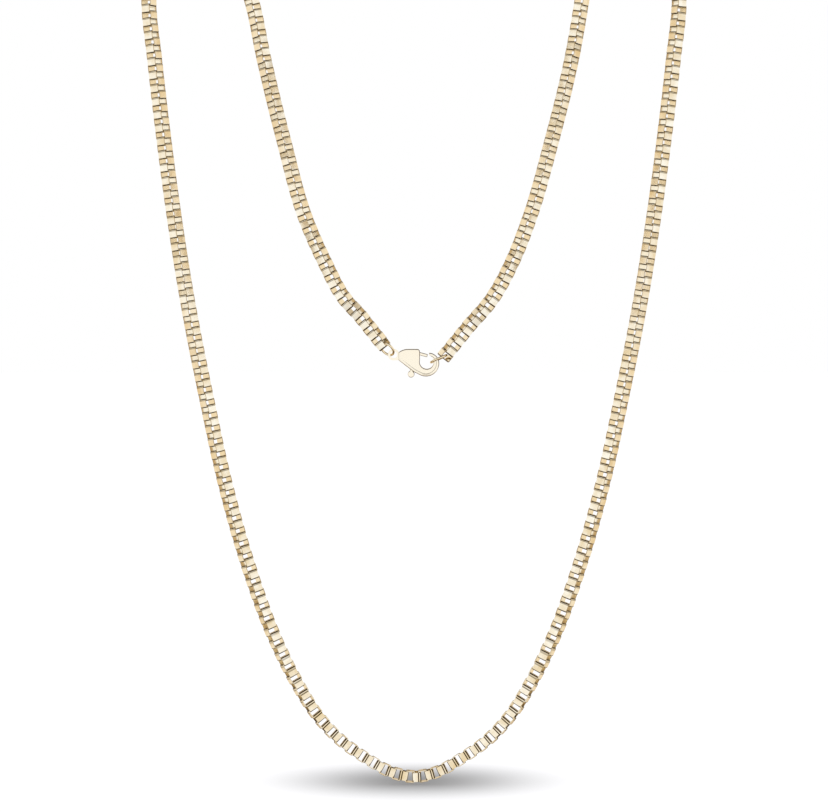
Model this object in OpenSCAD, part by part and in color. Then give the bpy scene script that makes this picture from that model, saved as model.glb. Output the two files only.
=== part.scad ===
// Box chain necklace closed by a lobster clasp, in the form it takes when it hangs.
// Millimetres, +X right, +Y back, +Z up. The origin lies midway between the two bends
// that the chain hangs from, level with their undersides. The front loop hangs low, and
// the back part, with the clasp at its lowest point, hangs higher behind it.

/* [Chain] */
// Width of the chain across opposite faces
link_w = 2.5; // [2.3:0.05:2.7]
// Thickness of the strip that a link is folded from
strip_t = 0.22; // [0.19:0.01:0.25]
// Distance between the centres of neighbouring links
link_pitch = 1.375; // [1.32:0.005:1.43]
// Play between two links along the chain
link_play = 0.1; // [0.07:0.01:0.14]
// Clearance of a link at each side inside its neighbour
link_side_gap = 0.06; // [0.04:0.01:0.09]
// Rounding of a link's four folds
link_round = 0.3; // [0.24:0.01:0.4]
// Space between the front loop and the back part, centre to centre
loop_depth = 10; // [8:0.5:14]

/* [Jump rings] */
// Wire diameter of both jump rings
ring_wire = 0.48; // [0.44:0.01:0.52]
// Outer diameter of the ring in the clasp's eye
clasp_ring_d = 3.7; // [3.6:0.05:3.9]
// Outer diameter of the ring that the hook holds
catch_ring_d = 4.1; // [4.0:0.05:4.3]
// Clearance between a ring and what it passes round
ring_gap = 0.05; // [0.03:0.01:0.08]

/* [Clasp] */
// Thickness of the body and hook, front to back
clasp_t = 1.8; // [1.6:0.05:1.9]
// Thickness of the flat eye
eye_t = 0.7; // [0.6:0.05:0.8]
// Outer radius of the eye
eye_r = 1.2; // [1.15:0.05:1.4]
// Radius of the hole in the eye
eye_hole_r = 0.74; // [0.71:0.01:0.78]
// Distance from the eye's centre to the hook opening's centre
hook_reach = 7.0; // [6.8:0.1:7.4]
// Radius of the round hook opening
hook_inner_r = 1.5; // [1.4:0.05:1.6]
// Outer radius of the hook along its lowest stretch
hook_outer_r = 2.8; // [2.7:0.05:3.0]
// Outer radius of the hook's thinner upper end
tip_outer_r = 2.2; // [2.1:0.05:2.3]
// Width of the sloping edge round the hook
bevel_w = 0.55; // [0.4:0.05:0.65]
// Depth of the sloping edge round the hook
bevel_d = 0.18; // [0.14:0.01:0.22]
// Depth of the small step where the sloping edge starts
bevel_step = 0.1; // [0.06:0.01:0.12]
// Height of the body from its flat top to the hook opening's centre
body_rise = 2.7; // [2.6:0.05:2.9]

/* [Lever] */
// Thickness of the lever
lever_t = 0.66; // [0.6:0.02:0.72]
// Clearance at each face of the lever inside the body
lever_gap = 0.1; // [0.08:0.01:0.14]
// Height of the lever's closing bar
bar_h = 0.64; // [0.56:0.02:0.7]
// Radius of the round thumb nub
nub_r = 0.72; // [0.66:0.02:0.78]
// Radius of the pivot pin
pin_r = 0.3; // [0.26:0.02:0.34]
// Radial clearance round the pivot pin
pin_gap = 0.05; // [0.04:0.01:0.06]

/* [Hidden] */
END_COUNT = 6;
$fn = 48;
round_fn = 96;
over = 1;

// Links
link_l = link_pitch + 2 * strip_t + link_play;
strip_w = link_w - 2 * strip_t - 2 * link_side_gap;
least_fold_r = 0.02;
fold_in_r = max(link_round - strip_t, least_fold_r);

// Turn of the links about the chain at its two ends
turn_left = -29;
turn_right = -27;
// Slope of the chain at its two ends
rise_left = 51.5;
rise_right = 51;

// Rings: distance from a ring's centre at which it holds a bar of half width h
clasp_ring_in = clasp_ring_d / 2 - ring_wire;
catch_ring_in = catch_ring_d / 2 - ring_wire;
function seat(ring_in, h) = sqrt(pow(ring_in - ring_gap, 2) - h * h);
function dir(a) = [cos(a), 0, sin(a)];

// Clasp: the eye's centre, then places in the clasp's own plane, measured from it
clasp_at = [-4.3, loop_depth / 2, -85.9];
hook_drop = 1.5;
hook_at = [hook_reach, -hook_drop];
hook_outer_at = hook_at + [-0.17, -0.3];
tip_at = hook_outer_at + [hook_outer_r - tip_outer_r, 0];
tip_x = hook_at.x + 0.5;
tip_turn = 100;
mouth_bite = 0.05;
mouth_x = hook_at.x - hook_inner_r + mouth_bite;
top_z = hook_at.y + body_rise;
top_round = 0.55;
neck = [0.87 * eye_r, -0.98 * eye_r];
shoulder = [2, 0.7];
heel_turn = 242;
heel = hook_outer_at + hook_outer_r * [cos(heel_turn), sin(heel_turn)];
flank = heel + [-1.3, 0.66];
// How far one shape of the clasp reaches into the next
root = 0.3;
slot_t = lever_t + 2 * lever_gap;
side_t = (clasp_t - slot_t) / 2;
edge_d = min(bevel_d, 0.75 * side_t - bevel_step);
wall_t = 0.5;

// Lever: its parts in the same plane, and the pin's depth in each side of the body
pivot = [mouth_x - 1.4, top_z - 1.55];
bar_start = [mouth_x, top_z - 1.0];
bar_end = [tip_x - 0.36, top_z - 1.42];
nub_at = pivot + [-0.46, -3.76];
arm_w = 0.7;
hub_r = 0.66;
pin_grip = 0.3;

// Jump rings, from the clasp outwards
clasp_ring_rise = 139;
clasp_ring_tilt = 54;
eye_play = 0.1;
clasp_ring_at = clasp_at + dir(clasp_ring_rise)
    * (eye_hole_r - eye_play + seat(clasp_ring_in - ring_gap, eye_t / 2 / sin(clasp_ring_tilt)));
catch_ring_rise = 25;
catch_ring_tilt = 86;
hold_turn = 6;
hook_hold = hook_at + hook_inner_r * [cos(hold_turn), sin(hold_turn)];
catch_ring_at = clasp_at + [hook_hold.x, 0, hook_hold.y]
    + dir(catch_ring_rise) * seat(catch_ring_in - ring_gap, clasp_t / 2);

// Ends of the chain: the centre of the first and last link
left_dir = dir(180 - rise_left);
right_dir = dir(rise_right);
// Extra room where a ring crosses the end link at a slant, and that link's shift along its end wall
left_slant = 0.13;
left_shift = 0.06;
right_slant = 0.25;
right_shift = 0.2;
left_at = clasp_ring_at + dir(clasp_ring_rise) * seat(clasp_ring_in, strip_w / 2 + left_slant)
    + left_shift * dir(90 - rise_left) + left_dir * (link_l / 2 - strip_t);
right_at = catch_ring_at + dir(catch_ring_rise) * seat(catch_ring_in, strip_w / 2 + right_slant)
    + right_shift * dir(rise_right - 90) + right_dir * (link_l / 2 - strip_t);
tube_start = (END_COUNT - 1) * link_pitch + link_l / 2 + link_play;

// Route of the chain. Columns: x, depth as a share of half the loop depth, z, turn of the links
back_left = [
    [-14.3, 1, -74.5, -30],
    [-19.0, 1, -66.0, -33],
    [-22.7, 1, -57.6, -37],
    [-27.5, 1, -40.6, -44],
    [-31.6, 1, -23.7, -47],
    [-34.3, 1, -11.0, -48]];
bend_left = [
    [-36.2, 0.92, -5.4, -49],
    [-40.0, 0.55, -0.2, -51],
    [-45.5, 0, 1.5, -53],
    [-51.0, -0.55, -0.4, -55],
    [-54.5, -0.92, -5.6, -57]];
front_left = [
    [-54.9, -1, -12.0, -57],
    [-53.75, -1, -24.5, -56],
    [-51.87, -1, -41.2, -54],
    [-49.7, -1, -57.8, -51],
    [-47.1, -1, -74.5, -47],
    [-43.1, -1, -95.3, -42],
    [-39.5, -1, -112.0, -37],
    [-34.9, -1, -128.7, -33],
    [-28.9, -1, -145.3, -26],
    [-24.8, -1, -153.7, -22],
    [-19.5, -1, -162.0, -16],
    [-15.5, -1, -166.2, -12],
    [-9.6, -1, -170.4, -8],
    [-4.6, -1, -173.1, -4]];
bottom = [0, -1, -174.0, 0];
back_right = [
    [35.4, 1, -11.0, -48],
    [33.2, 1, -23.7, -47],
    [29.1, 1, -40.6, -44],
    [24.2, 1, -57.6, -38],
    [20.9, 1, -66.0, -34],
    [16.2, 1, -74.5, -31]];
// Stations of the tube: at most this far apart, and at most this many degrees of turn
station_gap = 18;
station_turn = 17;

// The left side's points seen in a mirror, from the bottom upwards
function mirrored(side) = [for (i = [len(side) - 1:-1:0], p = [side[i]]) [-p[0], p[1], p[2], p[3]]];
function placed(p) = [p[0], p[1] * loop_depth / 2, p[2], p[3]];
function tube_end(at, way, turn) = concat(at + way * tube_start, [turn]);

left_route = concat(
    [tube_end(left_at, left_dir, turn_left)],
    [for (p = concat(back_left, bend_left, front_left, [bottom])) placed(p)]);
right_route = concat(
    [for (p = concat([bottom], mirrored(front_left), mirrored(bend_left), back_right)) placed(p)],
    [tube_end(right_at, right_dir, turn_right)]);

// A smooth curve through a route's points, with slopes weighed by the distance between them
function xyz(p) = [p[0], p[1], p[2]];
function gap_to(r, i) = norm(xyz(r[i + 1]) - xyz(r[i]));
function chord(r, i) = (r[i + 1] - r[i]) / gap_to(r, i);
function slope(r, i) =
    i == 0 ? chord(r, 0) :
    i == len(r) - 1 ? chord(r, i - 1) :
    (chord(r, i - 1) * gap_to(r, i) + chord(r, i) * gap_to(r, i - 1)) / (gap_to(r, i) + gap_to(r, i - 1));
function on_route(r, i, t) =
    (2 * t * t * t - 3 * t * t + 1) * r[i] + (t * t * t - 2 * t * t + t) * gap_to(r, i) * slope(r, i)
    + (3 * t * t - 2 * t * t * t) * r[i + 1] + (t * t * t - t * t) * gap_to(r, i) * slope(r, i + 1);
function unit(v) = v / norm(v);
function turn_at(r, i) = acos(min(1, unit(xyz(slope(r, i))) * unit(xyz(slope(r, i + 1)))));
function steps(r, i) = ceil(max(gap_to(r, i) / station_gap, turn_at(r, i) / station_turn));
function stations(r) = concat(
    [for (i = [0:len(r) - 2], n = steps(r, i), j = [0:n - 1]) on_route(r, i, j / n)],
    [r[len(r) - 1]]);

// The chain's outline at one station: flat faces a strip wide, with the corners between them cut
function outline() = [
    [link_w, strip_w], [strip_w, link_w], [-strip_w, link_w], [-link_w, strip_w],
    [-link_w, -strip_w], [-strip_w, -link_w], [strip_w, -link_w], [link_w, -strip_w]] / 2;
function section(at, way, front) =
    let (face = unit(front - (front * way) * way), side = cross(way, face))
    [for (p = outline()) xyz(at) + p.x * (face * cos(at[3]) + side * sin(at[3]))
        + p.y * (side * cos(at[3]) - face * sin(at[3]))];

module chain_tube(r, first_way, last_way) {
    s = stations(r);
    n = len(s);
    sides = len(outline());
    ways = [for (i = [0:n - 1])
        i == 0 ? first_way : i == n - 1 ? last_way : unit(xyz(s[i + 1]) - xyz(s[i - 1]))];
    points = [for (i = [0:n - 1], p = section(s[i], ways[i], [0, -1, 0])) p];
    walls = [for (i = [0:n - 2], j = [0:sides - 1], half = [0, 1])
        let (a = i * sides + j, b = i * sides + (j + 1) % sides)
        half == 0 ? [a, a + sides, b + sides] : [a, b + sides, b]];
    caps = [[for (j = [0:sides - 1]) j], [for (j = [sides - 1:-1:0]) (n - 1) * sides + j]];
    polyhedron(points, concat(walls, caps));
}

module chain_left() color("#e8c98f") chain_tube(left_route, left_dir, [1, 0, 0]);

module chain_right() color("#e8c98f") chain_tube(right_route, [1, 0, 0], -right_dir);

module rounded_square(size, r) {
    square([size.x - 2 * r, size.y], center = true);
    square([size.x, size.y - 2 * r], center = true);
    for (x = [-1, 1], y = [-1, 1]) translate([x * (size.x / 2 - r), y * (size.y / 2 - r)]) circle(r = r);
}

// One link along X, its two plates facing +Y and -Y
module link() {
    linear_extrude(strip_w, center = true) difference() {
        rounded_square([link_l, link_w], link_round);
        rounded_square([link_l - 2 * strip_t, link_w - 2 * strip_t], fold_in_r);
    }
}

module end_link(at, rise, turn, i) {
    color("#f0d6a2") translate(at + dir(rise) * i * link_pitch)
        rotate([0, -rise, 0]) rotate([turn + (i % 2) * 90, 0, 0]) link();
}

module link_left(i) end_link(left_at, 180 - rise_left, turn_left, i - 1);

// The right side's links run down to the clasp, and the last of them lies crosswise
module link_right(i) end_link(right_at, rise_right, 90 - turn_right, i - 1);

module jump_ring(at, d, rise, tilt) {
    color("#dcbc80") translate(at) rotate([0, -rise, 0]) rotate([90 + tilt, 0, 0])
        rotate_extrude() translate([(d - ring_wire) / 2, 0]) circle(d = ring_wire);
}

module clasp_ring() jump_ring(clasp_ring_at, clasp_ring_d, clasp_ring_rise - 180, clasp_ring_tilt);

module catch_ring() jump_ring(catch_ring_at, catch_ring_d, catch_ring_rise, catch_ring_tilt);

// A flat piece of the clasp, centred front to back, from its outline in the clasp's plane
module flat(t) rotate([90, 0, 0]) linear_extrude(t, center = true) children();

function arc(at, r, a, b, n) =
    [for (i = [0:n], turn = [a + (b - a) * i / n]) at + r * [cos(turn), sin(turn)]];

module body_outline() {
    arc_steps = 6;
    shoulder_r = (pow(shoulder.x, 2) + pow(shoulder.y, 2)) / (2 * shoulder.y);
    sweep = asin(shoulder.x / shoulder_r);
    polygon(concat(
        arc([neck.x + shoulder.x, top_z - shoulder_r], shoulder_r, 90 + sweep, 90, arc_steps),
        arc([mouth_x - top_round, top_z - top_round], top_round, 90, 0, arc_steps),
        [[mouth_x, hook_at.y - hook_inner_r - root], heel, flank, neck]));
}

// The hook before its opening is cut: a thick lower half round, and a thinner upper end
module hook_outline() {
    intersection() {
        translate(hook_outer_at) circle(r = hook_outer_r, $fn = round_fn);
        translate([mouth_x - root, hook_outer_at.y - 2 * hook_outer_r]) square(2 * hook_outer_r);
    }
    intersection() {
        translate(tip_at) circle(r = tip_outer_r, $fn = round_fn);
        translate([tip_x, tip_at.y - root]) square(2 * tip_outer_r);
    }
}

// The room inside the body, open towards the hook and along the lower edge, where the lever swings
module lever_room() {
    room_low = hook_at.y - 0.55 * hook_inner_r;
    polygon([
        [mouth_x + over, top_z - wall_t], [pivot.x - 1.6, top_z - wall_t], [neck.x + 0.6, flank.y + 1.9],
        [neck.x - 0.2, flank.y + 0.7], [heel.x - 1.4, heel.y - 0.3], [mouth_x, room_low],
        [mouth_x + over, room_low]]);
}

// What a sloping edge takes away, outside an edge at x = 0 and above a face at y = 0
module bevel_profile(w, d, step) {
    polygon([[-w, -step], [over, -step - d * (1 + over / w)], [over, over], [-w, over]]);
}

module arc_bevel(at, r, from, to, w, d, step) {
    translate([at.x, 0, at.y]) rotate([90, 0, 0])
        rotate_extrude(start = from, angle = to - from, $fn = round_fn)
            translate([r, clasp_t / 2]) bevel_profile(w, d, step);
}

// The edge from a to b, and lap beyond it, with the outside on the right hand
module side_bevel(a, b, w, d, step, lap) {
    way = b - a;
    translate([b.x, 0, b.y]) rotate([0, 90 - atan2(way.y, way.x), 0]) rotate([180, 0, 0])
        translate([0, clasp_t / 2, -lap]) linear_extrude(norm(way) + lap + root) bevel_profile(w, d, step);
}

module front_bevel() {
    run_out = 0.5;
    arc_bevel(hook_outer_at, hook_outer_r, heel_turn - run_out, 360, bevel_w, edge_d, bevel_step);
    arc_bevel(tip_at, tip_outer_r, -run_out, tip_turn, bevel_w, edge_d, bevel_step);
    side_bevel(flank, heel, bevel_w, edge_d, bevel_step, 0.05);
    side_bevel(neck, flank, bevel_w, edge_d, bevel_step, root);
}

// The eye's round lobe, filled in towards the body along its lower side
module eye_outline() {
    circle(r = eye_r);
    translate([0, -0.97 * eye_r]) square([neck.x + root, eye_r]);
}

module clasp_body() {
    color("#f3dcab") translate(clasp_at) difference() {
        union() {
            flat(eye_t) eye_outline();
            flat(clasp_t) {
                body_outline();
                hook_outline();
            }
        }
        flat(clasp_t + over) {
            circle(r = eye_hole_r);
            translate(hook_at) circle(r = hook_inner_r, $fn = round_fn);
        }
        flat(slot_t) lever_room();
        flat(slot_t + 2 * pin_grip) translate(pivot) circle(r = pin_r + pin_gap);
        front_bevel();
        mirror([0, 1, 0]) front_bevel();
    }
}

module bar(a, b, w) {
    way = b - a;
    translate(a) rotate(atan2(way.y, way.x)) translate([0, -w / 2]) square([norm(way), w]);
}

module clasp_lever() {
    color("#efd39c") translate(clasp_at) flat(lever_t) difference() {
        union() {
            translate(pivot) circle(r = hub_r);
            bar(pivot, bar_start, bar_h);
            translate(bar_start) circle(d = bar_h);
            bar(bar_start, bar_end, bar_h);
            bar(pivot, nub_at, arm_w);
            translate(nub_at) circle(r = nub_r);
        }
        translate(pivot) circle(r = pin_r + pin_gap);
    }
}

module clasp_pin() {
    color("#b8976a") translate(clasp_at) flat(slot_t + 2 * pin_grip - 2 * pin_gap)
        translate(pivot) circle(r = pin_r);
}

chain_left();
chain_right();
clasp_body();
clasp_lever();
clasp_pin();
clasp_ring();
catch_ring();
for (i = [1:END_COUNT]) link_left(i);
for (i = [1:END_COUNT]) link_right(i);
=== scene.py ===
import random
from math import cos, pi, radians, sin

import bmesh
import bpy
from mathutils import Matrix, Vector


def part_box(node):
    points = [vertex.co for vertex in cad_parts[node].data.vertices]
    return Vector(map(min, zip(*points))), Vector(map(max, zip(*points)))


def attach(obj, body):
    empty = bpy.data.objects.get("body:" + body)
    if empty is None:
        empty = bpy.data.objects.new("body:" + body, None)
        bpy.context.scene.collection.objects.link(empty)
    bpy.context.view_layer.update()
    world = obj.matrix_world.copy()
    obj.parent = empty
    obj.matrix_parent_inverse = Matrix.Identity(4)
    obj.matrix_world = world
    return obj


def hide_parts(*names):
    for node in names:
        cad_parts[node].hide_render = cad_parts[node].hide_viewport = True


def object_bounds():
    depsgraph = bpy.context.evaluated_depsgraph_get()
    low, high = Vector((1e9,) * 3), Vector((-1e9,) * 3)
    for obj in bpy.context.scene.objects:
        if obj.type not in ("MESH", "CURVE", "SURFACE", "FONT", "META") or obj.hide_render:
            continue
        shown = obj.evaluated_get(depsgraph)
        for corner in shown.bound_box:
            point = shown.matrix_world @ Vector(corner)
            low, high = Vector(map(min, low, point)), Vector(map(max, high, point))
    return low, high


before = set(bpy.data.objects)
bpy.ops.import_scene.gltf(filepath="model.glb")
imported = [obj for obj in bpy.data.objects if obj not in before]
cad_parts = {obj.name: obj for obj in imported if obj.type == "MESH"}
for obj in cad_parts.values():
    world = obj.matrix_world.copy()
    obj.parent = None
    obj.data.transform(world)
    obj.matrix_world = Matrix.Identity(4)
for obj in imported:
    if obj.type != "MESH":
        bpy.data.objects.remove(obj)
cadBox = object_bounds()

mm = 0.001
front = Vector((0, -1, 0))
scene = bpy.context.scene


# Small helpers for working on one piece at a time
def deselectAll():
    if bpy.context.object and bpy.context.object.mode != "OBJECT":
        bpy.ops.object.mode_set(mode="OBJECT")
    bpy.ops.object.select_all(action="DESELECT")


def workOn(piece):
    deselectAll()
    piece.select_set(True)
    bpy.context.view_layer.objects.active = piece


def startEdit(piece):
    workOn(piece)
    bpy.ops.object.mode_set(mode="EDIT")
    bpy.ops.mesh.select_mode(type="FACE")
    bpy.ops.mesh.select_all(action="DESELECT")


def endEdit():
    bpy.ops.object.mode_set(mode="OBJECT")


def pickFaces(piece, test):
    bpy.ops.mesh.select_mode(type="FACE")
    bpy.ops.mesh.select_all(action="DESELECT")
    shape = bmesh.from_edit_mesh(piece.data)
    for face in shape.faces:
        face.select_set(test(face))
    bmesh.update_edit_mesh(piece.data)


def pickEdges(piece, test):
    bpy.ops.mesh.select_mode(type="EDGE")
    bpy.ops.mesh.select_all(action="DESELECT")
    shape = bmesh.from_edit_mesh(piece.data)
    for edge in shape.edges:
        if test(edge):
            edge.select_set(True)
    bmesh.update_edit_mesh(piece.data)


def setOnMesh(piece):
    workOn(piece)
    bpy.ops.object.transform_apply(location=True, rotation=True, scale=True)


def softenNormals(piece, angle):
    workOn(piece)
    bpy.ops.object.shade_smooth_by_angle(angle=radians(angle))
    flatten = piece.modifiers.new("flatten", "WEIGHTED_NORMAL")
    flatten.keep_sharp = True
    bpy.ops.object.modifier_apply(modifier=flatten.name)


def linkUp(nodes, a, aSocket, b, bSocket):
    nodes.links.new(a.outputs[aSocket], b.inputs[bSocket])


# Camera: a little above the clasp and tipped down, with the two bends above the picture's edge
print("stage: camera")
cameraLook = {
    "distance": 600 * mm,
    "height": -72.4 * mm,
    "tip": 2.306,             # degrees downwards
    "lens": 124.3,
    "sensor": 36,
    "near": 0.02,
    "far": 20,
}
cameraData = bpy.data.cameras.new("camera")
cameraData.lens = cameraLook["lens"]
cameraData.sensor_width = cameraLook["sensor"]
cameraData.clip_start = cameraLook["near"]
cameraData.clip_end = cameraLook["far"]
camera = bpy.data.objects.new("camera", cameraData)
scene.collection.objects.link(camera)
camera.location = (0, -cameraLook["distance"], cameraLook["height"])
camera.rotation_euler = (radians(90 - cameraLook["tip"]), 0, 0)
scene.camera = camera


# The chain's route in millimetres: x, depth as a share of halfDepth, z, and the links' turn in degrees
print("stage: route")
routeLook = {
    "halfDepth": 5,
    "backLeft": [
        (-14.3, 1, -74.5, -30), (-19.0, 1, -66.0, -33), (-22.7, 1, -57.6, -37),
        (-27.5, 1, -40.6, -44), (-31.6, 1, -23.7, -47), (-34.3, 1, -11.0, -48)],
    "bendLeft": [
        (-36.2, 0.92, -5.4, -49), (-40.0, 0.55, -0.2, -51), (-45.5, 0, 1.5, -53),
        (-51.0, -0.55, -0.4, -55), (-54.5, -0.92, -5.6, -57)],
    "frontLeft": [
        (-54.9, -1, -12.0, -57), (-53.75, -1, -24.5, -56), (-51.87, -1, -41.2, -54),
        (-49.7, -1, -57.8, -51), (-47.1, -1, -74.5, -47), (-43.1, -1, -95.3, -42),
        (-39.5, -1, -112.0, -37), (-34.9, -1, -128.7, -33), (-28.9, -1, -145.3, -26),
        (-24.8, -1, -153.7, -22), (-19.5, -1, -162.0, -16), (-15.5, -1, -166.2, -12),
        (-9.6, -1, -170.4, -8), (-4.6, -1, -173.1, -4)],
    "bottom": (0, -1, -174.0, 0),
    "backRight": [
        (35.4, 1, -11.0, -48), (33.2, 1, -23.7, -47), (29.1, 1, -40.6, -44),
        (24.2, 1, -57.6, -38), (20.9, 1, -66.0, -34), (16.2, 1, -74.5, -31)],
    "turnLeft": -29,
    "turnRight": -27,
    "endCount": 6,
    "steps": 24,              # samples between two points of the route
}

linkLook = {
    "width": 2.5 * mm,
    "length": 1.915 * mm,
    "stripWidth": 1.94 * mm,
    "strip": 0.22 * mm,
    "foldRound": 0.3 * mm,
    "foldSteps": 3,
    "edgeRound": 0.03 * mm,
    "smooth": 50,             # degrees between faces above which an edge stays sharp
    "rimTurn": 0.9,           # a cut rim's normal has more than this along the strip's width
    "wallTurn": 0.1,          # the normal of a plate or an end wall has less
    "hollowTurn": 0.3,        # and that of a face towards the hollow has less than this
    "pitch": 1.375 * mm,
    "play": 0.1 * mm,
    "rollSway": 1.6,          # degrees, either way
    "tiltSway": 0.8,
    "seed": 7,
    "lowFrom": -140,          # height in millimetres where the lowest stretch begins, and where it is full
    "lowTo": -160,
    "evenFrom": -75,          # height in millimetres up to which the back part's links differ least in tone, and are painted paler, as painted light
    "evenLeast": 0.15,        # how much of their tone is left there
    "evenReach": 50,          # it is all back within this height above, in millimetres
}


def boxMiddle(node):
    low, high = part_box(node)
    return (Vector(low) + Vector(high)) / 2


def mirrored(side):
    return [(-x, depth, z, turn) for x, depth, z, turn in reversed(side)]


def endLine(side):
    first = boxMiddle(f"link_{side}_1")
    last = boxMiddle(f"link_{side}_{routeLook['endCount']}")
    return last, (last - first).normalized()


def routePoints():
    lastLeft, leftWay = endLine("left")
    lastRight, rightWay = endLine("right")
    tubeGap = linkLook["length"] / 2 + linkLook["play"]
    inner = [*routeLook["backLeft"], *routeLook["bendLeft"], *routeLook["frontLeft"], routeLook["bottom"],
             *mirrored(routeLook["frontLeft"]), *mirrored(routeLook["bendLeft"]), *routeLook["backRight"]]
    points = [(Vector((x, depth * routeLook["halfDepth"], z)) * mm, turn) for x, depth, z, turn in inner]
    start = (lastLeft + leftWay * tubeGap, routeLook["turnLeft"])
    end = (lastRight + rightWay * tubeGap, routeLook["turnRight"])
    return [start, *points, end]


def smoothRoute(points):
    spots = [Vector((*spot, turn)) for spot, turn in points]
    gaps = [(points[i + 1][0] - points[i][0]).length for i in range(len(points) - 1)]
    chords = [(spots[i + 1] - spots[i]) / gaps[i] for i in range(len(gaps))]
    slopes = [chords[0]]
    for i in range(1, len(gaps)):
        slopes.append((chords[i - 1] * gaps[i] + chords[i] * gaps[i - 1]) / (gaps[i] + gaps[i - 1]))
    slopes.append(chords[-1])
    samples = []
    for i, gap in enumerate(gaps):
        for j in range(routeLook["steps"]):
            t = j / routeLook["steps"]
            samples.append(
                spots[i] * (2 * t**3 - 3 * t**2 + 1) + slopes[i] * gap * (t**3 - 2 * t**2 + t)
                + spots[i + 1] * (3 * t**2 - 2 * t**3) + slopes[i + 1] * gap * (t**3 - t**2))
    samples.append(spots[-1])
    return samples


def alongRoute(samples):
    run = [0.0]
    for a, b in zip(samples, samples[1:]):
        run.append(run[-1] + (b.xyz - a.xyz).length)
    return run


def placeOnRoute(samples, run, distance):
    i = 0
    while i < len(run) - 2 and run[i + 1] < distance:
        i += 1
    share = (distance - run[i]) / (run[i + 1] - run[i])
    spot = samples[i].lerp(samples[i + 1], share)
    before = samples[max(i - 1, 0)].xyz
    after = samples[min(i + 2, len(samples) - 1)].xyz
    return spot.xyz, (after - before).normalized(), spot.w


def linkMatrix(at, way, turn, crosswise):
    face = (front - front.dot(way) * way).normalized()
    side = way.cross(face)
    plate = face * cos(radians(turn)) + side * sin(radians(turn))
    if crosswise:
        plate = way.cross(plate)
    width = way.cross(plate)
    if way.z < 0:             # a link's own x runs towards its upper end
        way, width = -way, -width
    return Matrix.Translation(at) @ Matrix((way, plate, width)).transposed().to_4x4()


# One link, folded from a strip: plates front and back, end walls, cut rims above and below
print("stage: link")


def onRim(face):
    return abs(face.normal.z) > linkLook["rimTurn"]


def modelLink():
    look = linkLook
    deselectAll()
    bpy.ops.mesh.primitive_cube_add(size=1)
    link = bpy.context.object
    link.name = "link"
    link.scale = (look["length"], look["width"], look["stripWidth"])
    setOnMesh(link)
    startEdit(link)
    pickEdges(link, lambda edge: abs((edge.verts[0].co - edge.verts[1].co).z) > look["stripWidth"] / 2)
    bpy.ops.mesh.bevel(offset=look["foldRound"], segments=look["foldSteps"], affect="EDGES")
    pickFaces(link, onRim)
    bpy.ops.mesh.inset(thickness=look["strip"], depth=0, use_even_offset=True)
    bpy.ops.mesh.bridge_edge_loops()
    rimHeight = look["stripWidth"] / 2 - look["edgeRound"] / 10

    def onOuterRim(edge):
        if min(abs(v.co.z) for v in edge.verts) < rimHeight:
            return False
        return any(abs(face.normal.z) < look["wallTurn"] for face in edge.link_faces) and all(
            onRim(face) or face.normal.dot(face.calc_center_median()) > 0 for face in edge.link_faces)

    pickEdges(link, onOuterRim)
    bpy.ops.mesh.bevel(offset=look["edgeRound"], segments=1, affect="EDGES")
    bpy.ops.mesh.select_all(action="SELECT")
    bpy.ops.mesh.normals_make_consistent(inside=False)
    endEdit()
    softenNormals(link, look["smooth"])
    return link


def addLinkSpace(link):
    # Where a point lies on its link, in millimetres, and which faces are cut rims or face the hollow
    space = link.data.attributes.new("linkSpace", "FLOAT_VECTOR", "POINT")
    for vertex in link.data.vertices:
        space.data[vertex.index].vector = vertex.co / mm
    rim = link.data.attributes.new("cutRim", "FLOAT", "FACE")
    inside = link.data.attributes.new("inside", "FLOAT", "FACE")
    for face in link.data.polygons:
        inward = face.normal.x * face.center.x + face.normal.y * face.center.y < 0
        level = abs(face.normal.z) < linkLook["hollowTurn"]
        rim.data[face.index].value = 1.0 if onRim(face) else 0.0
        inside.data[face.index].value = 1.0 if inward and level else 0.0
    link.data.attributes.new("linkTone", "FLOAT", "FACE")
    link.data.attributes.new("low", "FLOAT", "FACE")


def copyLink(link, name, matrix, tone):
    piece = link.copy()
    piece.data = link.data.copy()
    piece.name = name
    scene.collection.objects.link(piece)
    piece.data.transform(matrix)
    at = matrix.translation / mm
    low = min(max((linkLook["lowFrom"] - at.z) / (linkLook["lowFrom"] - linkLook["lowTo"]), 0), 1)
    if at.y > 0:              # links near the clasp differ less in tone, and so are painted paler, as painted light
        rise = max(at.z - linkLook["evenFrom"], 0)
        tone *= min(1, linkLook["evenLeast"] + rise / linkLook["evenReach"])
    for attribute, amount in (("linkTone", tone), ("low", low)):
        for value in piece.data.attributes[attribute].data:
            value.value = amount
    return piece


def joinAs(pieces, name):
    deselectAll()
    for piece in pieces:
        piece.select_set(True)
    bpy.context.view_layer.objects.active = pieces[0]
    bpy.ops.object.join()
    pieces[0].name = name
    return pieces[0]


linkModel = modelLink()
addLinkSpace(linkModel)
print("link faces:", len(linkModel.data.polygons))

print("stage: chain")
sway = random.Random(linkLook["seed"])


def swayedMatrix(at, way, turn, crosswise):
    roll = sway.uniform(-1, 1) * linkLook["rollSway"]
    tilt = sway.uniform(-1, 1) * linkLook["tiltSway"]
    return linkMatrix(at, way, turn + roll, crosswise) @ Matrix.Rotation(radians(tilt), 4, "Z")


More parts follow.
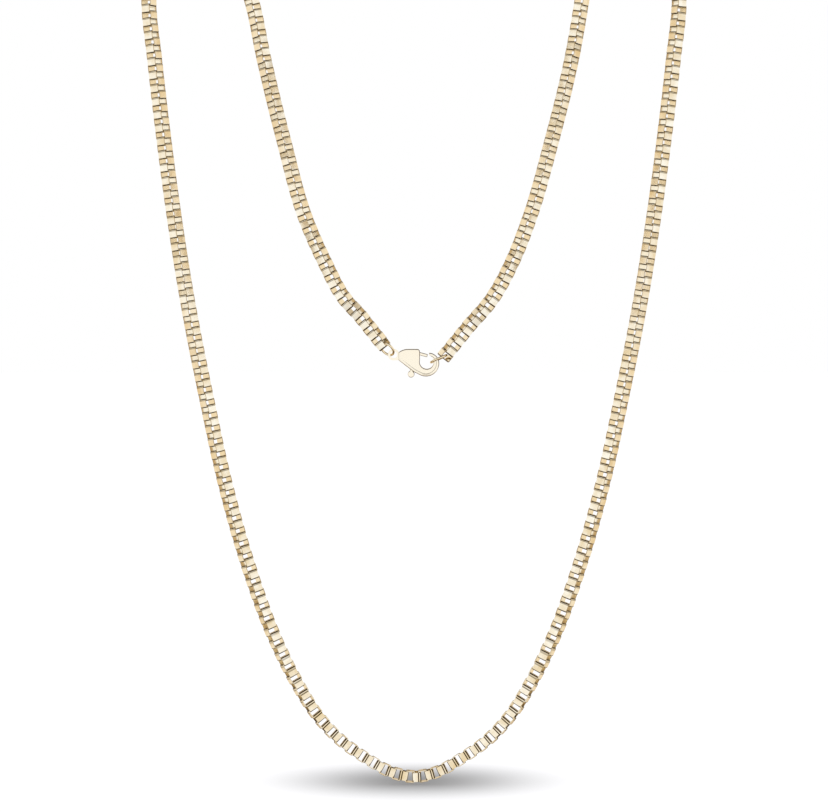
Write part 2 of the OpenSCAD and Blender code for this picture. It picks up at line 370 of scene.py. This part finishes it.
def layChain():
    points = routePoints()
    samples = smoothRoute(points)
    run = alongRoute(samples)
    inset = linkLook["pitch"] - linkLook["length"] / 2 - linkLook["play"]
    span = run[-1] - 2 * inset
    # An odd count, so that both ends fit the end links
    count = round((span / linkLook["pitch"] - 1) / 2) * 2 + 1
    print("links on the route:", count + 1)
    sides = {"left": [], "right": []}
    for i in range(count + 1):
        at, way, turn = placeOnRoute(samples, run, inset + span * i / count)
        side = "left" if at.x < 0 else "right"
        matrix = swayedMatrix(at, way, turn, i % 2 == 1)
        sides[side].append(copyLink(linkModel, f"{side}{i}", matrix, sway.random()))
    return [joinAs(sides[side], f"chain_{side}_links") for side in ("left", "right")]


def layEndLinks():
    made = []
    for side, turn, sign in (("left", routeLook["turnLeft"], 1), ("right", routeLook["turnRight"], -1)):
        way = endLine(side)[1] * sign
        for i in range(routeLook["endCount"]):
            crosswise = (i % 2 == 1) if side == "left" else (i % 2 == 0)
            node = f"link_{side}_{i + 1}"
            matrix = linkMatrix(boxMiddle(node), way, turn, crosswise)
            made.append((copyLink(linkModel, f"end_{node}", matrix, sway.random()), node))
    return made


chainPieces = layChain()
endPieces = layEndLinks()
bpy.data.objects.remove(linkModel)


# Clasp: each part keeps its shape, with its sharp edges eased as polishing leaves them, and painted shade and
# dark reflections on the eased edges and small steps
print("stage: clasp")
claspLook = {
    "clasp_body": {"name": "clasp_casting", "ease": 0.15 * mm, "thins": True},
    "clasp_lever": {"name": "lever_casting", "ease": 0.13 * mm, "thins": False},
    "steps": 3,
    "sharp": 30,              # edges that turn more than this are eased, in degrees
    "merge": 0.035 * mm,      # corners nearer than this become one
    "flat": 0.1,              # degrees between faces that become one
    "smooth": 38,             # degrees between faces above which an edge stays sharp
    "wallTurn": 0.3,          # a wall's normal has less than this towards the front or back
    "frontTurn": 0.999,       # a flat face's normal has more than this
    "stepHeight": 0.2 * mm,   # walls lower than this are the small step beside a sloping edge
    "stepEase": 0.07 * mm,
    "hookMiddle": Vector((2.7, 5, -87.4)) * mm,  # centre of the hook's opening
    "hookReach": 1.85 * mm,   # edges nearer than this bound the hook's opening
    "thinFrom": -1.1 * mm,    # between these heights the hook thins out towards its tip
    "thinTo": 0.9 * mm,
    "thinShare": 0.15,
    "slotReach": 0.5 * mm,    # edges nearer in depth than this to the clasp's middle stay sharp
    "shadeWay": (0.55, 0, 0.82),                 # eased edges turned this way are painted darker, as painted shade and dark reflections
    "shadeFrom": -0.15,
    "shadeTo": 0.45,
    "shadeLeast": 0.25,
    # the small steps get a full painted dark line, as painted shade
    "paintedStepShade": 1.0,
}


def wallHeights(edge):
    walls = [face for face in edge.link_faces if abs(face.normal.y) < claspLook["wallTurn"]]
    spans = [[vertex.co.y for vertex in face.verts] for face in walls]
    return [max(span) - min(span) for span in spans]


def onStep(edge):
    facing = max(abs(face.normal.y) for face in edge.link_faces) > claspLook["frontTurn"]
    return 1 if facing and min(wallHeights(edge), default=1) < claspLook["stepHeight"] else 0


def onOutside(edge):
    return 1 if min(wallHeights(edge), default=0) >= claspLook["stepHeight"] else 0


def thinning(place):
    # Less easing where the hook's flat face runs out between its opening and the sloping edge
    out = place - claspLook["hookMiddle"]
    if out.x < 0 or Vector((out.x, out.z)).length > claspLook["hookReach"]:
        return 1
    share = min(max((out.z - claspLook["thinFrom"]) / (claspLook["thinTo"] - claspLook["thinFrom"]), 0), 1)
    return 1 + (claspLook["thinShare"] - 1) * share


def onThinOutside(edge):
    # The walls beside the lever's slot are too thin to be eased on both sides
    middle = (edge.verts[0].co + edge.verts[1].co) / 2
    if abs(middle.y - claspLook["hookMiddle"].y) < claspLook["slotReach"]:
        return 0
    return onOutside(edge) * thinning(middle)


def easeEdges(piece, width, share, slot):
    shape = bmesh.new()
    shape.from_mesh(piece.data)
    layers = shape.edges.layers.float
    weight = layers.get("bevel_weight_edge") or layers.new("bevel_weight_edge")
    for edge in shape.edges:
        meeting = len(edge.link_faces) == 2 and edge.is_convex
        turned = meeting and edge.calc_face_angle(0) > radians(claspLook["sharp"])
        edge[weight] = share(edge) if turned else 0
    shape.to_mesh(piece.data)
    shape.free()
    ease = piece.modifiers.new("ease", "BEVEL")
    ease.width = width
    ease.segments = claspLook["steps"]
    ease.limit_method = "WEIGHT"
    ease.material = slot
    ease.use_clamp_overlap = False
    bpy.ops.object.modifier_apply(modifier=ease.name)


# How much painted shade and dark reflection an eased face gets, by the way it faces
def paintedEdgeShade(normal):
    share = (normal.dot(Vector(claspLook["shadeWay"])) - claspLook["shadeFrom"]) / (
        claspLook["shadeTo"] - claspLook["shadeFrom"])
    share = min(max(share, 0), 1)
    return claspLook["shadeLeast"] + (1 - claspLook["shadeLeast"]) * share * share * (3 - 2 * share)


def easedCopy(node):
    look = claspLook[node]
    piece = bpy.data.objects.new(look["name"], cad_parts[node].data.copy())
    scene.collection.objects.link(piece)
    workOn(piece)
    bpy.ops.mesh.customdata_custom_splitnormals_clear()
    bpy.ops.object.shade_smooth(keep_sharp_edges=False)
    startEdit(piece)
    bpy.ops.mesh.select_all(action="SELECT")
    bpy.ops.mesh.remove_doubles(threshold=claspLook["merge"])
    bpy.ops.mesh.dissolve_degenerate(threshold=claspLook["merge"])
    bpy.ops.mesh.select_all(action="SELECT")
    bpy.ops.mesh.dissolve_limited(angle_limit=radians(claspLook["flat"]))
    endEdit()
    # Passing material slots tell the faces apart: 1 for eased outer edges, 2 for the small steps
    for _ in range(3):
        piece.data.materials.append(bpy.data.materials.new("easing"))
    easeEdges(piece, look["ease"], onThinOutside if look["thins"] else onOutside, 1)
    easeEdges(piece, claspLook["stepEase"], onStep, 2)
    startEdit(piece)
    pickEdges(piece, lambda edge: len({face.material_index for face in edge.link_faces}) > 1
              or edge.calc_face_angle(0) > radians(claspLook["smooth"]))
    bpy.ops.mesh.mark_sharp()
    endEdit()
    # The eased faces carry painted shade and dark reflections in the 'eased' attribute; the steps get a full
    # painted dark line
    eased = piece.data.attributes.new("eased", "FLOAT", "CORNER")
    easedFaces = [face for face in piece.data.polygons if face.material_index > 0]
    for face in easedFaces:
        for corner in face.loop_indices:
            turned = paintedEdgeShade(piece.data.corner_normals[corner].vector)
            eased.data[corner].value = turned if face.material_index == 1 else claspLook["paintedStepShade"]
        face.material_index = 0
    print(look["name"], "eased faces:", len(easedFaces))
    return piece


bodyPiece = easedCopy("clasp_body")
leverPiece = easedCopy("clasp_lever")

# Jump rings: round wire bent to a ring, its two cut ends almost meeting
print("stage: jump rings")
ringLook = {
    "clasp_ring": {"name": "eye_ring", "across": 3.7 * mm, "rise": -41, "tilt": 54, "cutAt": 30},
    "catch_ring": {"name": "hook_ring", "across": 4.1 * mm, "rise": 25, "tilt": 86, "cutAt": 0},
    "wire": 0.48 * mm,
    "wireSides": 20,
    "steps": 84,
    "cut": 2.5,               # degrees left open
    "smooth": 45,             # degrees between faces above which an edge stays sharp
}


def bentRing(node):
    look = ringLook[node]
    reach = (look["across"] - ringLook["wire"]) / 2
    deselectAll()
    bpy.ops.mesh.primitive_circle_add(vertices=ringLook["wireSides"], radius=ringLook["wire"] / 2,
                                      fill_type="NGON", location=(reach, 0, 0), rotation=(pi / 2, 0, 0))
    ring = bpy.context.object
    ring.name = look["name"]
    setOnMesh(ring)
    startEdit(ring)
    bpy.ops.mesh.select_all(action="SELECT")
    bpy.ops.mesh.spin(steps=ringLook["steps"], angle=radians(360 - ringLook["cut"]),
                      center=(0, 0, 0), axis=(0, 0, 1))
    pickEdges(ring, lambda edge: edge.is_boundary)
    bpy.ops.mesh.edge_face_add()
    bpy.ops.mesh.select_all(action="SELECT")
    bpy.ops.mesh.normals_make_consistent(inside=False)
    endEdit()
    softenNormals(ring, ringLook["smooth"])
    ring.data.transform(
        Matrix.Translation(boxMiddle(node))
        @ Matrix.Rotation(radians(-look["rise"]), 4, "Y")
        @ Matrix.Rotation(radians(90 + look["tilt"]), 4, "X")
        @ Matrix.Rotation(radians(look["cutAt"]), 4, "Z"))
    return ring


ringPieces = [(bentRing(node), node) for node in ("clasp_ring", "catch_ring")]

# Metal: polished pale gold tone, with painted shade and dark reflections where the strip is folded, and
# deeper cut rims from a rougher edge and painted shade
print("stage: materials")


# Sockets of a colour mix, besides its share at 0
firstColour = 6
secondColour = 7
mixedColour = 2


def mixColour(nodes, kind="MIX"):
    mix = nodes.nodes.new("ShaderNodeMix")
    mix.data_type = "RGBA"
    mix.blend_type = kind
    return mix


def newMaterial(name):
    material = bpy.data.materials.new(name)
    material.use_nodes = True
    return material, material.node_tree, material.node_tree.nodes["Principled BSDF"]


def readAttribute(nodes, name):
    attribute = nodes.nodes.new("ShaderNodeAttribute")
    attribute.attribute_name = name
    return attribute


def mathNode(nodes, kind, *values):
    node = nodes.nodes.new("ShaderNodeMath")
    node.operation = kind
    for i, value in enumerate(values):
        if value is not None:
            node.inputs[i].default_value = value
    return node


def rangeNode(nodes, fromLow, fromHigh, toLow, toHigh):
    node = nodes.nodes.new("ShaderNodeMapRange")
    node.interpolation_type = "SMOOTHSTEP"
    for name, value in (("From Min", fromLow), ("From Max", fromHigh), ("To Min", toLow), ("To Max", toHigh)):
        node.inputs[name].default_value = value
    return node


def rampNode(nodes, steps):
    ramp = nodes.nodes.new("ShaderNodeValToRGB")
    stops = ramp.color_ramp.elements
    for i, (spot, colour) in enumerate(steps):
        shade = colour if isinstance(colour, tuple) else (colour, colour, colour)
        stop = stops[i] if i < 2 else stops.new(spot)
        stop.position = spot
        stop.color = (*shade, 1)
    return ramp


chainLook = {
    "pale": (0.99, 0.94, 0.81, 1),
    "deep": (0.81, 0.66, 0.41, 1),
    # the colour of the painted shade and dark reflections at the folds and link ends
    "paintedFoldShade": (0.07, 0.042, 0.01, 1),
    # cut rims deeper, from a rougher cut edge and as painted shade
    "rim": (0.40, 0.29, 0.14, 1),
    # faces towards the hollow painted paler, as painted light
    "inside": (0.96, 0.88, 0.70, 1),
    # Painted dark reflections and shade along the strip: how dark it is painted from a link's lower end to
    # its upper end
    "paintedBands": [(0.0, 0.25), (0.012, 0.97), (0.095, 0.97), (0.15, 0.0), (0.75, 0.0), (0.79, 0.75), (0.83, 0.75),
              (0.86, 0.1), (0.88, 0.1), (0.905, 1.0), (0.985, 1.0), (1.0, 0.35)],
    # the painted dark reflections and shade in the lowest stretch
    "lowPaintedBands": [(0.0, 0.4), (0.015, 0.9), (0.05, 0.9), (0.10, 0.0), (0.62, 0.0), (0.65, 1.0), (0.75, 1.0),
                 (0.78, 0.0), (0.86, 0.0), (0.885, 1.0), (0.985, 1.0), (1.0, 0.5)],
    "lowPaintedShade": 0.12,          # how much deeper the tone is painted in the lowest stretch, as painted shade
    "lowRimLight": 0.8,            # how much paler the cut rims are painted in the lowest stretch, as painted light
    "rimShadeShare": 0.85,
    "paintedLightInsideShare": 0.7,
    "toneShare": 0.55,
    "mottleShare": 0.55,
    # how much deeper a link's upper end is painted, as painted shade
    "paintedUpperEndShade": 0.25,
    "roughLow": 0.10,
    "roughHigh": 0.20,
    "lineStretch": (1.2, 1.2, 22),
    "lineStep": 53,           # how far the lines move on from link to link, at most
    "lineDetail": 3,
    "lineBump": 0.05,
    "lineDepth": 0.004 * mm,
    "broad": 520,
    "broadDetail": 2,
}
noiseLow = 0.3                # noise outside these two counts as the nearer of them
noiseHigh = 0.7


def chainGold():
    look = chainLook
    material, nodes, shader = newMaterial("chain_gold")
    shader.inputs["Metallic"].default_value = 1.0
    tone = readAttribute(nodes, "linkTone")
    rim = readAttribute(nodes, "cutRim")
    inside = readAttribute(nodes, "inside")
    space = readAttribute(nodes, "linkSpace")

    # Fine lines along the strip: stretched noise, moved on from link to link
    far = mathNode(nodes, "MULTIPLY", None, look["lineStep"])
    shift = nodes.nodes.new("ShaderNodeVectorMath")
    shift.operation = "MULTIPLY_ADD"
    shift.inputs[1].default_value = look["lineStretch"]
    lines = nodes.nodes.new("ShaderNodeTexNoise")
    lines.inputs["Scale"].default_value = 1.0
    lines.inputs["Detail"].default_value = look["lineDetail"]
    linkUp(nodes, tone, "Fac", far, 0)
    linkUp(nodes, space, "Vector", shift, 0)
    linkUp(nodes, far, 0, shift, 2)
    linkUp(nodes, shift, 0, lines, "Vector")

    # Change of tone along the chain: random from link to link, and painted deeper towards a link's upper end
    # and in the lowest stretch, as painted shade
    place = nodes.nodes.new("ShaderNodeTexCoord")
    broad = nodes.nodes.new("ShaderNodeTexNoise")
    broad.inputs["Scale"].default_value = look["broad"]
    broad.inputs["Detail"].default_value = look["broadDetail"]
    split = nodes.nodes.new("ShaderNodeSeparateXYZ")
    length = linkLook["length"] / mm
    along = mathNode(nodes, "MULTIPLY_ADD", None, 1 / length, 0.5)
    mottle = rangeNode(nodes, noiseLow, noiseHigh, -look["mottleShare"] / 2, look["mottleShare"] / 2)
    ends = mathNode(nodes, "MULTIPLY_ADD", None, look["paintedUpperEndShade"])
    amount = mathNode(nodes, "MULTIPLY_ADD", None, look["toneShare"])
    linkUp(nodes, place, "Object", broad, "Vector")
    linkUp(nodes, broad, "Fac", mottle, "Value")
    linkUp(nodes, space, "Vector", split, 0)
    linkUp(nodes, split, "X", along, 0)
    linkUp(nodes, along, 0, ends, 0)
    linkUp(nodes, mottle, 0, ends, 2)
    low = readAttribute(nodes, "low")
    lowPaintedShade = mathNode(nodes, "MULTIPLY_ADD", None, look["lowPaintedShade"])
    linkUp(nodes, low, "Fac", lowPaintedShade, 0)
    linkUp(nodes, ends, 0, lowPaintedShade, 2)
    linkUp(nodes, tone, "Fac", amount, 0)
    linkUp(nodes, lowPaintedShade, 0, amount, 2)
    body = mixColour(nodes)
    body.inputs[firstColour].default_value = look["pale"]
    body.inputs[secondColour].default_value = look["deep"]
    linkUp(nodes, amount, 0, body, 0)

    # Inner faces painted paler as painted light; cut rims deeper from a rougher edge and painted shade; folds
    # and link ends painted with dark reflections and shade
    # Faces towards the hollow painted paler, as painted light
    paintedLightInnerShare = mathNode(nodes, "MULTIPLY", None, look["paintedLightInsideShare"])
    inner = mixColour(nodes)
    inner.inputs[secondColour].default_value = look["inside"]
    linkUp(nodes, inside, "Fac", paintedLightInnerShare, 0)
    linkUp(nodes, paintedLightInnerShare, 0, inner, 0)
    linkUp(nodes, body, mixedColour, inner, firstColour)
    # Cut rims deeper from a rougher edge and painted shade, and painted paler in the lowest stretch as
    # painted light
    rimFade = mathNode(nodes, "MULTIPLY_ADD", None, -look["lowRimLight"] * look["rimShadeShare"], look["rimShadeShare"])
    rimShadeShare = mathNode(nodes, "MULTIPLY")
    cut = mixColour(nodes)
    cut.inputs[secondColour].default_value = look["rim"]
    linkUp(nodes, low, "Fac", rimFade, 0)
    linkUp(nodes, rimFade, 0, rimShadeShare, 1)
    linkUp(nodes, rim, "Fac", rimShadeShare, 0)
    linkUp(nodes, rimShadeShare, 0, cut, 0)
    linkUp(nodes, inner, mixedColour, cut, firstColour)
    # Painted dark reflections and shade across the folds and link ends, on the outer faces only
    paintedBands = mixColour(nodes)
    linkUp(nodes, low, "Fac", paintedBands, 0)
    for name, socket in (("paintedBands", firstColour), ("lowPaintedBands", secondColour)):
        ramp = rampNode(nodes, look[name])
        linkUp(nodes, along, 0, ramp, 0)
        linkUp(nodes, ramp, 0, paintedBands, socket)
    outside = mathNode(nodes, "SUBTRACT", 1, None)
    paintedBandShare = mathNode(nodes, "MULTIPLY")
    paintedFoldShade = mixColour(nodes)
    paintedFoldShade.inputs[secondColour].default_value = look["paintedFoldShade"]
    edges = mathNode(nodes, "MAXIMUM")
    linkUp(nodes, inside, "Fac", edges, 0)
    linkUp(nodes, rim, "Fac", edges, 1)
    linkUp(nodes, edges, 0, outside, 1)
    linkUp(nodes, paintedBands, mixedColour, paintedBandShare, 0)
    linkUp(nodes, outside, 0, paintedBandShare, 1)
    linkUp(nodes, paintedBandShare, 0, paintedFoldShade, 0)
    linkUp(nodes, cut, mixedColour, paintedFoldShade, firstColour)
    linkUp(nodes, paintedFoldShade, mixedColour, shader, "Base Color")

    rough = rangeNode(nodes, noiseLow, noiseHigh, look["roughLow"], look["roughHigh"])
    bump = nodes.nodes.new("ShaderNodeBump")
    bump.inputs["Strength"].default_value = look["lineBump"]
    bump.inputs["Distance"].default_value = look["lineDepth"]
    linkUp(nodes, lines, "Fac", rough, "Value")
    linkUp(nodes, rough, 0, shader, "Roughness")
    linkUp(nodes, lines, "Fac", bump, "Height")
    linkUp(nodes, bump, 0, shader, "Normal")
    return material


castLook = {
    "clasp_gold": {"pale": (1.0, 0.955, 0.84, 1), "deep": (0.97, 0.90, 0.745, 1), "broad": 150, "fine": 1500,
                   "roughLow": 0.10, "roughHigh": 0.18, "edge": (0.10, 0.055, 0.015, 1)},
    "ring_gold": {"pale": (0.95, 0.85, 0.64, 1), "deep": (0.88, 0.74, 0.49, 1), "broad": 300, "fine": 1800,
                  "roughLow": 0.12, "roughHigh": 0.2},
    "pin_gold": {"pale": (0.80, 0.66, 0.43, 1), "deep": (0.68, 0.53, 0.33, 1), "broad": 500, "fine": 2500,
                 "roughLow": 0.25, "roughHigh": 0.4},
    "broadDetail": 3,
    "fineDetail": 4,
    "bump": 0.06,
    "bumpDepth": 0.006 * mm,
}


def castGold(name):
    look = castLook[name]
    material, nodes, shader = newMaterial(name)
    shader.inputs["Metallic"].default_value = 1.0
    place = nodes.nodes.new("ShaderNodeTexCoord")
    broad = nodes.nodes.new("ShaderNodeTexNoise")
    broad.inputs["Scale"].default_value = look["broad"]
    broad.inputs["Detail"].default_value = castLook["broadDetail"]
    fine = nodes.nodes.new("ShaderNodeTexNoise")
    fine.inputs["Scale"].default_value = look["fine"]
    fine.inputs["Detail"].default_value = castLook["fineDetail"]
    body = mixColour(nodes)
    body.inputs[firstColour].default_value = look["pale"]
    body.inputs[secondColour].default_value = look["deep"]
    rough = rangeNode(nodes, noiseLow, noiseHigh, look["roughLow"], look["roughHigh"])
    bump = nodes.nodes.new("ShaderNodeBump")
    bump.inputs["Strength"].default_value = castLook["bump"]
    bump.inputs["Distance"].default_value = castLook["bumpDepth"]
    linkUp(nodes, place, "Object", broad, "Vector")
    linkUp(nodes, place, "Object", fine, "Vector")
    linkUp(nodes, broad, "Fac", body, 0)
    linkUp(nodes, body, mixedColour, shader, "Base Color")
    # Painted shade and dark reflections: the dark edge colour mixed in on eased edges and steps
    if "edge" in look:
        eased = readAttribute(nodes, "eased")
        edge = mixColour(nodes)
        edge.inputs[secondColour].default_value = look["edge"]
        linkUp(nodes, eased, "Fac", edge, 0)
        linkUp(nodes, body, mixedColour, edge, firstColour)
        linkUp(nodes, edge, mixedColour, shader, "Base Color")
    linkUp(nodes, fine, "Fac", rough, "Value")
    linkUp(nodes, rough, 0, shader, "Roughness")
    linkUp(nodes, fine, "Fac", bump, "Height")
    linkUp(nodes, bump, 0, shader, "Normal")
    return material


def dress(piece, material):
    piece.data.materials.clear()
    piece.data.materials.append(material)


def finishPiece(piece, material, body, node):
    dress(piece, material)
    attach(piece, body)
    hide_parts(node)


chainMetal = chainGold()
claspMetal = castGold("clasp_gold")
ringMetal = castGold("ring_gold")
for piece, side in zip(chainPieces, ("left", "right")):
    finishPiece(piece, chainMetal, "root", f"chain_{side}")
for piece, node in endPieces:
    finishPiece(piece, chainMetal, "root", node)
for piece, node in ringPieces:
    finishPiece(piece, ringMetal, "root", node)
finishPiece(bodyPiece, claspMetal, "root", "clasp_body")
finishPiece(leverPiece, claspMetal, "lever", "clasp_lever")
dress(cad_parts["clasp_pin"], castGold("pin_gold"))


# Stage: a pale floor just under the lowest link, with a painted soft shadow under the chain, and soft studio
# light
print("stage: floor and light")
stageLook = {
    "floorGap": 0.4 * mm,
    "floorSize": 6,
    "floorColour": (0.30, 0.30, 0.305, 1),
    "floorGlow": 2.4,
    "floorRough": 0.9,
    "floorShine": 0.1,
    "paintedShadowReach": (37 * mm, 28 * mm),
    "paintedShadowDepth": 0.70,
}
lowest = cadBox[0][2]
deselectAll()
bpy.ops.mesh.primitive_plane_add(size=stageLook["floorSize"], location=(0, 0, lowest - stageLook["floorGap"]))
floor = bpy.context.object
floor.name = "floor"
setOnMesh(floor)
floor.visible_glossy = False


def floorMaterial():
    material, nodes, shader = newMaterial("floor_pale")
    place = nodes.nodes.new("ShaderNodeTexCoord")
    # A painted shadow: a soft dark ellipse around the floor's middle, in its colour and glow
    centred = nodes.nodes.new("ShaderNodeMapping")
    reachX, reachY = stageLook["paintedShadowReach"]
    centred.inputs["Scale"].default_value = (1 / reachX, 1 / reachY, 0)
    linkUp(nodes, place, "Object", centred, "Vector")
    length = nodes.nodes.new("ShaderNodeVectorMath")
    length.operation = "LENGTH"
    linkUp(nodes, centred, 0, length, 0)
    paintedShadow = rangeNode(nodes, 0, 1, 1 - stageLook["paintedShadowDepth"], 1)
    linkUp(nodes, length, "Value", paintedShadow, "Value")
    base = mixColour(nodes, "MULTIPLY")
    base.inputs[0].default_value = 1
    base.inputs[firstColour].default_value = stageLook["floorColour"]
    linkUp(nodes, paintedShadow, 0, base, secondColour)
    linkUp(nodes, base, mixedColour, shader, "Base Color")
    linkUp(nodes, base, mixedColour, shader, "Emission Color")
    shader.inputs["Emission Strength"].default_value = stageLook["floorGlow"]
    shader.inputs["Roughness"].default_value = stageLook["floorRough"]
    shader.inputs["Specular IOR Level"].default_value = stageLook["floorShine"]
    return material


dress(floor, floorMaterial())

lightLook = {
    # Brightness of the studio as the metal sees it, from straight below to straight above
    "height": [(0.0, (0.20, 0.14, 0.08)), (0.14, (0.24, 0.17, 0.10)), (0.22, 1.0), (0.5, 1.0), (0.78, 1.0),
               (0.86, (0.17, 0.12, 0.07)), (1.0, (0.12, 0.08, 0.05))],
    # Its colour from straight in front to straight behind
    "depth": [(0.0, (0.99, 0.97, 0.94)), (0.12, (1, 0.985, 0.96)), (0.3, (1, 1, 1)), (0.47, (1, 0.99, 0.97)),
              (0.55, (0.92, 0.80, 0.62)), (0.71, (0.91, 0.79, 0.60)), (0.76, (0.94, 0.86, 0.72)),
              (0.90, (0.90, 0.77, 0.58)), (0.96, (0.58, 0.46, 0.31)),
              (1.0, (0.62, 0.50, 0.35))],
    "glow": 1.02,             # strength in the metal's reflections, and for all other light
    "open": 1.0,
    "lampAt": (0, -0.02, 0.5),
    "lampAim": (0, -0.004, -0.17),
    "lampSize": 0.3,
    "lampPower": 0.4,
}


def buildWorld():
    world = bpy.data.worlds.new("studio")
    scene.world = world
    world.use_nodes = True
    nodes = world.node_tree
    background = nodes.nodes["Background"]
    place = nodes.nodes.new("ShaderNodeTexCoord")
    split = nodes.nodes.new("ShaderNodeSeparateXYZ")
    linkUp(nodes, place, "Generated", split, 0)
    shades = []
    for axis, name in (("Z", "height"), ("Y", "depth")):
        share = mathNode(nodes, "MULTIPLY_ADD", None, 0.5, 0.5)
        ramp = rampNode(nodes, lightLook[name])
        linkUp(nodes, split, axis, share, 0)
        linkUp(nodes, share, 0, ramp, 0)
        shades.append(ramp)
    seen = mixColour(nodes, "MULTIPLY")
    seen.inputs[0].default_value = 1
    linkUp(nodes, shades[0], 0, seen, firstColour)
    linkUp(nodes, shades[1], 0, seen, secondColour)
    path = nodes.nodes.new("ShaderNodeLightPath")
    colour = mixColour(nodes)
    colour.inputs[firstColour].default_value = (1, 1, 1, 1)
    strength = nodes.nodes.new("ShaderNodeMix")
    strength.data_type = "FLOAT"
    strength.inputs["A"].default_value = lightLook["open"]
    strength.inputs["B"].default_value = lightLook["glow"]
    linkUp(nodes, path, "Is Glossy Ray", colour, 0)
    linkUp(nodes, path, "Is Glossy Ray", strength, 0)
    linkUp(nodes, seen, mixedColour, colour, secondColour)
    linkUp(nodes, colour, mixedColour, background, "Color")
    linkUp(nodes, strength, 0, background, "Strength")


def hangLamp():
    data = bpy.data.lights.new("overhead", "AREA")
    data.shape = "RECTANGLE"
    data.size = lightLook["lampSize"]
    data.size_y = lightLook["lampSize"]
    data.energy = lightLook["lampPower"]
    lamp = bpy.data.objects.new("overhead", data)
    scene.collection.objects.link(lamp)
    lamp.location = lightLook["lampAt"]
    aim = Vector(lightLook["lampAim"]) - lamp.location
    lamp.rotation_euler = aim.to_track_quat("-Z", "Y").to_euler()
    lamp.visible_glossy = False


buildWorld()
hangLamp()
scene.view_settings.view_transform = "Standard"
scene.view_settings.look = "None"
